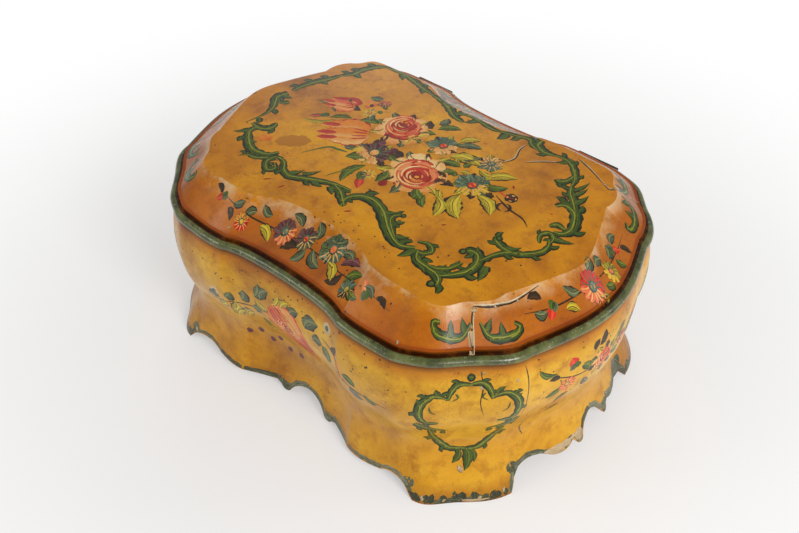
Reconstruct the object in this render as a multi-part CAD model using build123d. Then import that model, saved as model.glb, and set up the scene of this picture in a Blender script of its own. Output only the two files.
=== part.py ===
from build123d import *
import math
import os

# Lacquered bombé casket: a serpentine softwood box on a flared, scalloped base,
# under a hinged lid with sloping borders round a flat top panel.
# Millimetres. +Z is up, the front faces -Y, and the floor is Z = 0 under the centre.

# Plan of the rim, taken on the centre line of its bead
half_length = 186.0          # middle of each end, from the centre
half_depth = 124.0           # middle of the front and back, from the centre
crest_x = 75.0               # crest of the shoulder, from the centre
crest_swell = 8.6            # how far the shoulder stands out past the middle of the front
turn_back = 78.0             # where the front turns into the corner, in from the end
turn_swell = 5.7
corner_back = 40.5           # middle of the corner, in from the end
corner_in = 24.0             # middle of the corner, in from the front
cusp_back = 17.5             # cusp between corner and end, in from the end
cusp_in = 55.0               # the same cusp, in from the front
back_corner_swell = 5.0      # the back corners were left fuller than the front ones

# Heights
waist_z = 50.0               # base and walls meet
seam_z = 136.2               # top of the walls
lid_gap = 0.3                # between the walls and the closed lid
bead_height = 7.0
band_height = 3.5            # upright band above the bead
slope_rise = 22.0            # sloping border, up to the height of the panel's middle
panel_crown = 3.0            # the lid's top falls this much from its middle to its ends

# Boards
wall_inset = 17.0            # inner face of the walls, in from the rim
base_inset = 19.0            # inner face of the base, in from the rim
floor_board = 8.0
panel_board = 10.0
panel_ledge = 3.0            # the border's ledge under the panel
panel_lip = 1.5              # flat top of the border round the panel
bead_land = 1.0              # the bead's back face, in from the rim
bead_out = 4.5               # the bead's depth
band_inset = 3.5
slope_inset = 5.5
block_leg = 30.0             # glue block, square to the corner
block_width = 48.0           # glue block, across the corner
block_height = 26.0
block_back = 7.5             # middle of the block, in from the corner

# Outward swell at the front's middle, the shoulder, the corner, the cusp and the end's middle
panel_edge = (-39.5, -34.5, -30.0, -34.5, -29.0)
wall_swell = (
    (seam_z, (0.5, 0.5, 0.5, 0.5, 0.5)),
    (120.0, (4.5, 4.5, 4.0, 4.5, 4.5)),
    (102.0, (5.0, 5.0, 5.0, 5.0, 5.0)),
    (82.0, (1.0, 2.0, 2.5, 2.0, 2.0)),
    (65.0, (-7.0, -4.0, -3.0, -4.0, -4.0)),
    (waist_z, (-12.0, -9.0, -7.0, -9.0, -9.0)),
)
base_swell = (
    (waist_z, (-12.0, -9.0, -7.0, -9.0, -9.0)),
    (37.0, (-12.5, -9.0, -5.5, -8.5, -8.5)),
    (22.0, (-10.0, -5.5, 0.5, -3.0, -3.0)),
    (8.0, (-6.0, -1.5, 7.5, 4.0, 4.0)),
    (0.0, (-5.0, -1.0, 10.0, 7.0, 7.0)),
)

# Scalloped lower edge of the base: (distance from the middle, height over the floor)
front_foot_back = 62.0       # where the front feet begin, in from the end
front_foot_rise = 8.0
front_scallop_shift = 5.0    # the pattern was cut a little off centre
front_scallop = dict(arch=(0, 17.5), arch_side=(11, 14), pendant_in=(18.5, 6), pendant=(23.5, 2.8),
                     pendant_out=(28, 6), notch=(29.5, 9.5), lobe=(60, 5.5), lobe_end=(88, 9.5), hollow=13.5)
end_foot_in = 47.0           # where the end feet begin, in from the front
end_foot_rise = 13.0
end_scallop_shift = 8.0
end_scallop = dict(arch=(0, 25), arch_side=(8, 21), pendant_in=(14.5, 13), pendant=(19, 9.5),
                   pendant_out=(23, 13), notch=(24.5, 16), lobe=(37, 11.5), lobe_end=(48, 14.5), hollow=19.5)
foot_slant = 7.0             # the foot's inner edge leans this much

# Hinges
hinge_back = 101.0           # middle of each hinge, in from the end
hinge_width = 36.0
leaf_thick = 1.3
leaf_reach = 16.0
knuckle_r = 2.75
pin_r = 1.25
pin_clearance = 0.05
knuckle_gap = 0.3
bead_clearance = 0.6         # between the bead and the hinge barrel
nail_r = 1.1
nail_head_r = 2.0
case_nail_length = 11.0
lid_nail_length = 7.0
nail_spacing = 12.0
nail_in = 5.0                # nails from the leaf's inner edge

lid_z = seam_z + lid_gap
bead_top = lid_z + bead_height
slope_z = bead_top + band_height
panel_z = slope_z + slope_rise
panel_under = panel_z - panel_board
sides = ("front", "right", "back", "left")
crease_at = dict(front=7, right=3, back=7, left=3)   # the plan point, from the corner, that is a crease
parts = {}


def between(start, end, along, across):
    return (start[0] + (end[0] - start[0]) * along, start[1] + (end[1] - start[1]) * across)


crest = (crest_x, -half_depth - crest_swell)
turn = (half_length - turn_back, -half_depth - turn_swell)
corner = (half_length - corner_back, -half_depth + corner_in)
cusp = (half_length - cusp_back, -half_depth + cusp_in)


def front_plan():
    """Rim points from the middle of the front to the middle of the corner.
    Each is a place, the way out, and its region: 0 front, 1 shoulder, 2 corner, 3 cusp, 4 end."""
    middle = (0, -half_depth)
    return [
        (middle, (0, -1), 0),
        (between(middle, crest, 0.335, 0.093), (0, -1), 0),
        (between(middle, crest, 0.6, 0.372), (0.08, -1), 0.4),
        (between(middle, crest, 0.78, 0.872), (0.1, -1), 0.8),
        (crest, (0.05, -1), 1),
        (between(crest, turn, 0.606, 0.345), (0, -1), 1),
        (turn, (0, -1), 1.2),
        (between(turn, corner, 0.176, 0.108), (0.05, -1), 1.5),
        (between(turn, corner, 0.533, 0.38), (0.35, -0.94), 2),
        (between(turn, corner, 0.773, 0.687), (0.55, -0.83), 2),
        (corner, (0.72, -0.69), 2),
    ]


def end_plan():
    """Rim points from the middle of the corner to the middle of the end."""
    middle = (half_length, 0)
    return [
        (corner, (0.72, -0.69), 2),
        (between(corner, cusp, 0.3, 0.213), (0.76, -0.65), 2),
        (between(corner, cusp, 0.587, 0.42), (0.82, -0.58), 2.3),
        (cusp, (0.95, -0.3), 3),
        (between(cusp, middle, 0.2, 0.13), (1, -0.15), 3),
        (between(cusp, middle, 0.514, 0.35), (1, -0.08), 3),
        (between(cusp, middle, 0.886, 0.68), (1, 0), 3.3),
        (middle, (1, 0), 4),
    ]


def swell_at(region, swell):
    low = min(int(region), len(swell) - 2)
    share = region - low
    return swell[low] * (1 - share) + swell[low + 1] * share


def swollen(plan, swell, corner_extra=0.0):
    """The plan's points moved out by the swell, and by an extra at the corner."""
    points = []
    for (x, y), (out_x, out_y), region in plan:
        out = swell_at(region, swell) + corner_extra * max(0.0, 1 - abs(region - 2))
        points.append((x + out_x * out, y + out_y * out))
    return points


def rim_points(side, swell):
    """Points of one side of the outline, from corner to corner, counter-clockwise."""
    if side in ("front", "back"):
        extra = back_corner_swell if side == "back" else 0.0
        half = swollen(front_plan(), swell, extra)
        points = [(-x, y) for x, y in reversed(half)] + half[1:]
        return points if side == "front" else [(-x, -y) for x, y in points]
    front_half = swollen(end_plan(), swell)
    back_half = swollen(end_plan(), swell, back_corner_swell)
    points = front_half + [(x, -y) for x, y in reversed(back_half[:-1])]
    return points if side == "right" else [(-x, y) for x, y in reversed(points)]


def rim_edges(side, swell, z):
    """The side's outline as three curves, which meet in a crease at each shoulder or cusp."""
    points = [Vector(x, y, z) for x, y in rim_points(side, swell)]
    first = crease_at[side]
    last = len(points) - 1 - first
    runs = [points[:first + 1], points[first:last + 1], points[last:]]
    return [Edge.make_spline(run) for run in runs]


def evenly(depth):
    return (depth,) * len(panel_edge)


def strip_face(side, z, outer, inner):
    """Flat section of one mitred side, between an outer and an inner outline."""
    out_edges = rim_edges(side, outer, z)
    in_edges = rim_edges(side, inner, z)
    last_end = Edge.make_line(out_edges[-1] @ 1, in_edges[-1] @ 1)
    first_end = Edge.make_line(in_edges[0] @ 0, out_edges[0] @ 0)
    return Face(Wire(out_edges + [last_end] + in_edges[::-1] + [first_end]))


def strip(side, levels, ruled=False):
    """Solid of one mitred side, through sections of (height, outer swell, inner swell)."""
    return Part() + loft([strip_face(side, z, outer, inner) for z, outer, inner in levels], ruled=ruled)


def filled_face(z, swell):
    return Face(Wire([edge for side in sides for edge in rim_edges(side, swell, z)]))


def filled(z_low, z_high, swell):
    """Upright board of the whole outline."""
    return Part() + extrude(filled_face(z_low, swell), amount=z_high - z_low, dir=(0, 0, 1))


def scallop_edge(shape, foot, foot_rise, shift):
    """Lower edge from foot to foot, as arcs and short lines in (along, height)."""
    def half(sign):
        at = {name: (sign * value[0] + shift, value[1]) for name, value in shape.items() if name != "hollow"}
        foot_top = (sign * (foot - foot_slant), foot_rise)
        hollow = ((at["lobe_end"][0] + foot_top[0]) / 2, shape["hollow"])
        return [
            ThreePointArc(at["arch"], at["arch_side"], at["pendant_in"]),
            ThreePointArc(at["pendant_in"], at["pendant"], at["pendant_out"]),
            Line(at["pendant_out"], at["notch"]),
            ThreePointArc(at["notch"], at["lobe"], at["lobe_end"]),
            ThreePointArc(at["lobe_end"], hollow, foot_top),
            Line(foot_top, (sign * foot, 0)),
            Line((sign * foot, 0), (sign * foot, -10)),
        ]
    closing = Line((-foot, -10), (foot, -10))
    return Curve() + half(1) + half(-1) + closing


def scallop_cutter(side):
    """What the saw took away below one side of the base."""
    if side in ("front", "back"):
        edge = scallop_edge(front_scallop, half_length - front_foot_back, front_foot_rise, front_scallop_shift)
        reach = half_depth + 30
        plane = Plane(origin=(0, 0, 0), x_dir=(1, 0, 0), z_dir=(0, -1, 0))
    else:
        edge = scallop_edge(end_scallop, half_depth - end_foot_in, end_foot_rise, end_scallop_shift)
        reach = half_length + 30
        plane = Plane(origin=(0, 0, 0), x_dir=(0, 1, 0), z_dir=(1, 0, 0))
    cutter = extrude(plane * make_face(edge), amount=reach)
    return cutter.rotate(Axis.Z, 180) if side in ("back", "left") else cutter


def make_walls():
    for side in sides:
        levels = [(z, swell, evenly(-wall_inset)) for z, swell in wall_swell]
        parts[side + "_wall"] = strip(side, levels)


def make_base():
    for side in sides:
        levels = [(z, swell, evenly(-base_inset)) for z, swell in base_swell]
        parts[side + "_base_skirt"] = strip(side, levels) - scallop_cutter(side)
    parts["bottom_board"] = filled(waist_z, waist_z + floor_board, evenly(-wall_inset))


def make_glue_blocks():
    """Corner blocks under the bottom board, shaped to the hollow behind the base."""
    inside = filled(waist_z - block_height, waist_z, evenly(-base_inset))
    for name, sx, sy in (("front_right", 1, -1), ("back_right", 1, 1), ("back_left", -1, 1), ("front_left", -1, -1)):
        depth = base_inset + block_back - (back_corner_swell if sy > 0 else 0.0)
        x = corner[0] - depth * 0.72
        y = -corner[1] - depth * 0.69
        blank = Box(block_width, block_leg, block_height)
        place = Location((sx * x, sy * y, waist_z - block_height / 2), (0, 0, -45 if sx * sy > 0 else 45))
        parts[name + "_glue_block"] = inside & (place * blank)


def slope_swell(share):
    return tuple(-slope_inset + (edge + slope_inset) * share for edge in panel_edge)


def under_swell(share):
    """Hollow face under the slope, from the wall line to the ledge under the panel."""
    return tuple(-wall_inset + (edge - panel_lip - panel_ledge + wall_inset) * share for edge in panel_edge)


def make_lid_borders():
    seat = tuple(edge - panel_lip for edge in panel_edge)
    split = (panel_under - slope_z) / slope_rise
    inner = evenly(-wall_inset)
    for side in sides:
        land = strip(side, [(lid_z, evenly(-bead_land), inner), (bead_top, evenly(-bead_land), inner)])
        band = strip(side, [(bead_top, evenly(-band_inset), inner), (slope_z, evenly(-band_inset), inner)])
        lower = strip(side, [(slope_z, slope_swell(0), under_swell(0)),
                             (panel_under, slope_swell(split), under_swell(1))])
        upper = strip(side, [(panel_under, slope_swell(split), seat), (panel_z, slope_swell(1), seat)])
        parts[side + "_lid_border"] = land + band + lower + upper


def make_beads():
    half_height = bead_height / 2
    middle = lid_z + half_height
    steps = (-0.97, -0.78, -0.42, 0.0, 0.42, 0.78, 0.97)
    for side in sides:
        levels = []
        for step in steps:
            out = -bead_land + bead_out * math.sqrt(1 - step * step)
            levels.append((middle + step * half_height, evenly(out), evenly(-bead_land)))
        parts[side + "_bead"] = strip(side, levels)


def crown():
    """Everything under the gently domed top of the lid."""
    reach = half_length + panel_edge[-1]
    radius = (reach * reach + panel_crown * panel_crown) / (2 * panel_crown)
    return Pos(0, 0, panel_z - radius) * Sphere(radius)


def make_panel():
    """Top board on the border's ledge, planed to one dome with the border."""
    seat = tuple(edge - panel_lip for edge in panel_edge)
    dome = crown()
    parts["lid_top_panel"] = filled(panel_under, panel_z, seat) & dome
    for side in sides:
        parts[side + "_lid_border"] = parts[side + "_lid_border"] & dome


def hinge_axis_y():
    return half_depth + crest_swell - bead_land + bead_out + bead_clearance + knuckle_r


def leaf(centre_x, knuckle_spans, z_low):
    """Flat leaf with its own knuckles rolled round the pin."""
    axis_y = hinge_axis_y()
    axis_z = seam_z + lid_gap / 2
    near = axis_y - knuckle_r - knuckle_gap
    plate = Pos(centre_x, near - leaf_reach / 2, z_low + leaf_thick / 2) * Box(hinge_width, leaf_reach, leaf_thick)
    for start, stop in knuckle_spans:
        middle = centre_x + (start + stop) / 2
        tongue = Pos(middle, (near + axis_y) / 2, z_low + leaf_thick / 2) * Box(stop - start, axis_y - near, leaf_thick)
        barrel = Pos(middle, axis_y, axis_z) * Rot(0, 90, 0) * Cylinder(knuckle_r, stop - start)
        plate = plate + tongue + barrel
    bore = Pos(centre_x, axis_y, axis_z) * Rot(0, 90, 0) * Cylinder(pin_r + pin_clearance, hinge_width + 2)
    return plate - bore


def nail(x, y, z_top, length, sign):
    """Wrought nail with a flat head let in flush, driven down (-1) or up (1)."""
    shank = Pos(x, y, z_top + sign * length / 2) * Cylinder(nail_r, length)
    head = Pos(x, y, z_top + sign * leaf_thick / 4) * Cylinder(nail_head_r, leaf_thick / 2)
    return shank + head


def make_hinges():
    knuckle = hinge_width / 3
    half = hinge_width / 2
    case_spans = [(-half, -knuckle / 2 - knuckle_gap), (knuckle / 2 + knuckle_gap, half)]
    lid_spans = [(-knuckle / 2, knuckle / 2)]
    axis_y = hinge_axis_y()
    near = axis_y - knuckle_r - knuckle_gap
    nail_y = near - leaf_reach + nail_in
    pocket = Box(hinge_width, leaf_reach, leaf_thick)
    case_nails, lid_nails = Part(), Part()
    for name, centre_x in (("left", hinge_back - half_length), ("right", half_length - hinge_back)):
        for dx in (-nail_spacing, 0, nail_spacing):
            case_nails += nail(centre_x + dx, nail_y, seam_z, case_nail_length, -1)
            lid_nails += nail(centre_x + dx, nail_y, lid_z, lid_nail_length, 1)
        case_pocket = Pos(centre_x, near - leaf_reach / 2, seam_z - leaf_thick / 2) * pocket
        lid_pocket = Pos(centre_x, near - leaf_reach / 2, lid_z + leaf_thick / 2) * pocket
        parts["back_wall"] -= case_pocket
        parts["back_lid_border"] -= lid_pocket
        parts["back_bead"] -= lid_pocket
        parts[name + "_hinge_case_leaf"] = leaf(centre_x, case_spans, seam_z - leaf_thick) - case_nails
        parts[name + "_hinge_lid_leaf"] = leaf(centre_x, lid_spans, lid_z) - lid_nails
        pin = Rot(0, 90, 0) * Cylinder(pin_r, hinge_width)
        parts[name + "_hinge_pin"] = Pos(centre_x, axis_y, seam_z + lid_gap / 2) * pin
    parts["back_wall"] -= case_nails
    parts["back_lid_border"] -= lid_nails
    parts["case_hinge_nails"] = case_nails
    parts["lid_hinge_nails"] = lid_nails


def main():
    make_walls()
    make_base()
    make_glue_blocks()
    make_lid_borders()
    make_beads()
    make_panel()
    make_hinges()
    os.makedirs("parts", exist_ok=True)
    for name, part in parts.items():
        export_step(part, os.path.join("parts", name + ".step"))
    print(len(parts), "pieces")


main()
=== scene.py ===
# %% [markdown]
# A lacquered table casket, dressed for its portrait The box is a painted softwood casket: ochre paint
# over gesso, green scrollwork, sprays of flowers, and a thick varnish that has crazed and darkened.
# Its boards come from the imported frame, already at their real size. Everything in this file is
# finish: the paint, the brushwork, the wear and the light.

# %% Load the frame
import math
import random
import bmesh
import bpy
from mathutils import Matrix, Vector
from mathutils.bvhtree import BVHTree


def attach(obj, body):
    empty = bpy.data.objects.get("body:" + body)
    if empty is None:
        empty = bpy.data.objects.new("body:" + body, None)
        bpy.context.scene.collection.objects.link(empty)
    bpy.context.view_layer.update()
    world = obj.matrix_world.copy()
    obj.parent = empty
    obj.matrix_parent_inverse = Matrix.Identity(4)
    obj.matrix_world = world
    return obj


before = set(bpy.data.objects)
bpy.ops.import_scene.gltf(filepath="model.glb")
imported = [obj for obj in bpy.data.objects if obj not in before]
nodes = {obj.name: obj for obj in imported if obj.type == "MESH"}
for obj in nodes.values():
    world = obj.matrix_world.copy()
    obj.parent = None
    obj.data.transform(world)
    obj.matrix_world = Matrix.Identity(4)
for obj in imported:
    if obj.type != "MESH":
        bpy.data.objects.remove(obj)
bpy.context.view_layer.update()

MM = 0.001
scene = bpy.context.scene
chance = random.Random(7)

# %% [markdown]
# The camera stands where the photographer stood: a little above the box, off its near right corner. A
# perspective was fitted to the rim, the feet and the scalloped base, which gives its direction and
# its distance. A long lens from 0.7 m keeps the far end nearly as large as the near one.

# %% Camera
photo_width = 799            # pixels
camera_azimuth = math.radians(41.33)
camera_elevation = math.radians(41.91)
camera_roll = math.radians(0.34)
camera_distance = 696.54 * MM
camera_focal_px = 988.75
camera_target = Vector((48.88, -64.08, 140.0)) * MM
camera_centre_px = (-3.78, -1.65)
sensor_width = 36.0

camera_data = bpy.data.cameras.new("portrait_camera")
camera_data.sensor_width = sensor_width
camera_data.lens = camera_focal_px * sensor_width / photo_width
camera_data.shift_x = -camera_centre_px[0] / photo_width
camera_data.shift_y = camera_centre_px[1] / photo_width
camera_data.clip_start = 0.05
camera_data.clip_end = 20.0
camera = bpy.data.objects.new("portrait_camera", camera_data)
scene.collection.objects.link(camera)
scene.camera = camera


def camera_axes():
    """Right, up and forward of the camera."""
    flat = math.cos(camera_elevation)
    ahead = (-math.sin(camera_azimuth) * flat, math.cos(camera_azimuth) * flat, -math.sin(camera_elevation))
    forward = Vector(ahead)
    level = Vector((math.cos(camera_azimuth), math.sin(camera_azimuth), 0.0))
    upright = level.cross(forward)
    c, s = math.cos(camera_roll), math.sin(camera_roll)
    return c * level + s * upright, -s * level + c * upright, forward


right, up, forward = camera_axes()
turn = Matrix((right, up, -forward)).transposed().to_4x4()
camera.matrix_world = Matrix.Translation(camera_target - forward * camera_distance) @ turn
print("camera: lens", round(camera_data.lens, 2), "mm,", round(camera_distance, 3), "m away")

# %% [markdown]
# Two small helpers carry every finish. One turns a paint's sRGB hex into linear light, as shaders
# count it. The other adds one node with its settings and what goes into it, so that a finish reads
# from top to bottom.

# %% Colour and node helpers
def srgb(hex_code, alpha=1.0):
    """A paint colour, written as sRGB hex, in linear light."""
    channels = [int(hex_code[i:i + 2], 16) / 255 for i in (0, 2, 4)]
    linear = [c / 12.92 if c <= 0.04045 else ((c + 0.055) / 1.055) ** 2.4 for c in channels]
    return (*linear, alpha)


def add_node(tree, kind, inputs=None, stops=None, **settings):
    """A shader node with its settings, its inputs set or linked by name or number, and a ramp's stops."""
    node = tree.nodes.new("ShaderNode" + kind)
    for name, value in settings.items():
        setattr(node, name, value)
    for key, value in (inputs or {}).items():
        if isinstance(value, bpy.types.NodeSocket):
            tree.links.new(value, node.inputs[key])
        else:
            node.inputs[key].default_value = value
    if stops:
        ramp = node.color_ramp
        while len(ramp.elements) < len(stops):
            ramp.elements.new(1.0)
        for element, (position, colour) in zip(ramp.elements, stops):
            element.position = position
            element.color = srgb(colour)
    return node


def new_material(name):
    """An empty node material with its output."""
    material = bpy.data.materials.new(name)
    material.use_nodes = True
    material.node_tree.nodes.clear()
    output = material.node_tree.nodes.new("ShaderNodeOutputMaterial")
    return material, material.node_tree, output


def coated(tree, output, material, inputs):
    """The material, finished with one Principled surface."""
    surface = add_node(tree, "BsdfPrincipled", inputs)
    tree.links.new(surface.outputs[0], output.inputs[0])
    return material


# %% [markdown]
# Furniture is photographed on a white paper sweep with soft boxes round it. The floor here is one
# pale sheet that takes the shadow, and beyond it the camera sees plain white. The sweep fades to that
# white by its own distance from the box, so no lamp has to be turned up for the background.

# %% Floor and white surround
def make_floor():
    bm = bmesh.new()
    bmesh.ops.create_grid(bm, x_segments=2, y_segments=2, size=4.0)
    mesh = bpy.data.meshes.new("paper_sweep")
    bm.to_mesh(mesh)
    bm.free()
    floor = bpy.data.objects.new("paper_sweep", mesh)
    scene.collection.objects.link(floor)
    material, tree, output = new_material("white_paper_sweep")
    paper = add_node(tree, "BsdfDiffuse", {"Color": srgb("fbfaf9")})
    # Seen by the camera or in glossy reflections the sweep is partly white glow: 40 per cent within 0.16 m of
    # its middle, all glow from 0.62 m out, so the shadow near the box is painted lighter as well.
    lit = add_node(tree, "Emission", {"Color": srgb("ffffff"), "Strength": 1.0})
    path = add_node(tree, "LightPath")
    seen = add_node(tree, "Math", {0: path.outputs["Is Camera Ray"], 1: path.outputs["Is Glossy Ray"]},
                    operation="MAXIMUM")
    place = add_node(tree, "TexCoord")
    reach = add_node(tree, "VectorMath", {0: place.outputs["Object"]}, operation="LENGTH")
    fade = add_node(tree, "MapRange",
                    {"Value": reach.outputs["Value"], "From Min": 0.16, "From Max": 0.62, "To Min": 0.4,
                     "To Max": 1.0}, interpolation_type="SMOOTHSTEP")
    share = add_node(tree, "Math", {0: fade.outputs["Result"], 1: seen.outputs[0]}, operation="MULTIPLY")
    mix = add_node(tree, "MixShader", {0: share.outputs[0], 1: paper.outputs[0], 2: lit.outputs[0]})
    tree.links.new(mix.outputs[0], output.inputs[0])
    mesh.materials.append(material)


def make_world():
    world = bpy.data.worlds.new("studio")
    world.use_nodes = True
    tree = world.node_tree
    tree.nodes.clear()
    output = tree.nodes.new("ShaderNodeOutputWorld")
    path = add_node(tree, "LightPath")
    seen = add_node(tree, "Math",
                    {0: path.outputs["Is Camera Ray"], 1: path.outputs["Is Transmission Ray"]},
                    operation="MAXIMUM")
    room = add_node(tree, "Background", {"Color": srgb("ffffff"), "Strength": 0.34})
    white = add_node(tree, "Background", {"Color": srgb("ffffff"), "Strength": 1.0})
    mix = add_node(tree, "MixShader", {0: seen.outputs[0], 1: room.outputs[0], 2: white.outputs[0]})
    tree.links.new(mix.outputs[0], output.inputs[0])
    scene.world = world


make_floor()
make_world()
scene.view_settings.view_transform = "Standard"
print("floor: top at 0 mm, 8 m across")

# %% [markdown]
# Four soft boxes do the rest. The key stands to the right, so the near corner and the right end are
# the brightest and the shadow falls softly to the left. The others are weaker. Each faces the box
# from the side where the varnish shows its glare: along the front slopes, over the far half of the
# top, and down the end slope.

# %% Soft boxes
box_centre = Vector((0, 0, 100)) * MM
lamp_distance = 1.5          # metres


def soft_box(name, direction, size, watts):
    """A flat area light that faces the box from a direction."""
    data = bpy.data.lights.new(name, "AREA")
    data.shape = "RECTANGLE"
    data.size, data.size_y = size
    data.energy = watts
    lamp = bpy.data.objects.new(name, data)
    scene.collection.objects.link(lamp)
    way = Vector(direction).normalized()
    facing = way.to_track_quat("Z", "Y").to_matrix().to_4x4()
    lamp.matrix_world = Matrix.Translation(box_centre + way * lamp_distance) @ facing


soft_box("right_key_soft_box", (0.80, -0.28, 0.53), (0.5, 0.5), 11.5)
soft_box("front_left_soft_box", (-0.50, -0.66, 0.55), (0.6, 0.3), 3.2)
soft_box("back_left_soft_box", (-0.62, 0.74, 0.27), (0.9, 0.35), 4)
soft_box("back_right_soft_box", (0.67, 0.55, 0.50), (0.3, 0.5), 1.5)
print("lamps: four soft boxes,", lamp_distance, "m away")

# %% [markdown]
# The ground of the whole box is ochre distemper over gesso, under many coats of sandarac varnish. The
# varnish has gone amber, more in some places than in others, and has crazed like dry mud. Dirt sits
# in the pits and cracks. A finish like this is layers, so the nodes are layers too: broad clouds of
# colour, a tint by height, brown stains, dark specks, then a net of cracks from Voronoi cells. The
# tint by height makes the lid darker towards the bottom of its slopes and the case darker towards the
# floor, and it holds painted shade: near black on the ledge just above the lid's bead, and a painted
# shadow along the top of the case under the lid. High on the lid's slopes a pale band, broken by
# noise, is a painted highlight. The same net of cracks, upside down, is the bump, so the cracks catch
# the light. Inside, the boards are bare. A board's own normal tells which face looks in, so one
# finish serves both.

# %% Lacquer over gesso
def bare_wood(tree, place):
    """Old softwood, its grain a noise drawn out along the board: 2 mm rings, 60 mm long."""
    drawn = add_node(tree, "Mapping", {"Vector": place, "Scale": (16.0, 90.0, 500.0)})
    grain = add_node(tree, "TexNoise", {"Vector": drawn.outputs[0], "Scale": 1.0, "Detail": 5.0})
    return add_node(tree, "ValToRGB", {0: grain.outputs["Fac"]},
                    [(0.3, "6e4a28"), (0.5, "9a7040"), (0.7, "b98f58")])


def looks_in(tree, coords, rim_height):
    """1 on the faces that look into the box or down, and on the rim under the lid."""
    radial = add_node(tree, "VectorMath", {0: coords.outputs["Object"], 1: (1.0, 1.5, 0.0)},
                      operation="MULTIPLY")
    outward = add_node(tree, "VectorMath", {0: radial.outputs[0]}, operation="NORMALIZE")
    facing = add_node(tree, "VectorMath", {0: outward.outputs[0], 1: coords.outputs["Normal"]},
                      operation="DOT_PRODUCT")
    inward = add_node(tree, "Math", {0: facing.outputs["Value"], 1: -0.2}, operation="LESS_THAN")
    normal = add_node(tree, "SeparateXYZ", {0: coords.outputs["Normal"]})
    height = add_node(tree, "SeparateXYZ", {0: coords.outputs["Object"]})
    down = add_node(tree, "Math", {0: normal.outputs["Z"], 1: -0.8}, operation="LESS_THAN")
    level = add_node(tree, "Math", {0: normal.outputs["Z"], 1: 0.9}, operation="GREATER_THAN")
    low = add_node(tree, "Math", {0: height.outputs["Z"], 1: rim_height * MM}, operation="LESS_THAN")
    rim = add_node(tree, "Math", {0: level.outputs[0], 1: low.outputs[0]}, operation="MULTIPLY")
    either = add_node(tree, "Math", {0: inward.outputs[0], 1: down.outputs[0]}, operation="MAXIMUM")
    return add_node(tree, "Math", {0: either.outputs[0], 1: rim.outputs[0]}, operation="MAXIMUM"), height


def swell_of(tree, place):
    """The slow rise and fall of the gesso under the paint, 16 mm from crest to crest."""
    swell = add_node(tree, "TexNoise",
                     {"Vector": place, "Scale": 1000 / 16, "Detail": 5.0, "Roughness": 0.62})
    return swell.outputs["Fac"]


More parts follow.
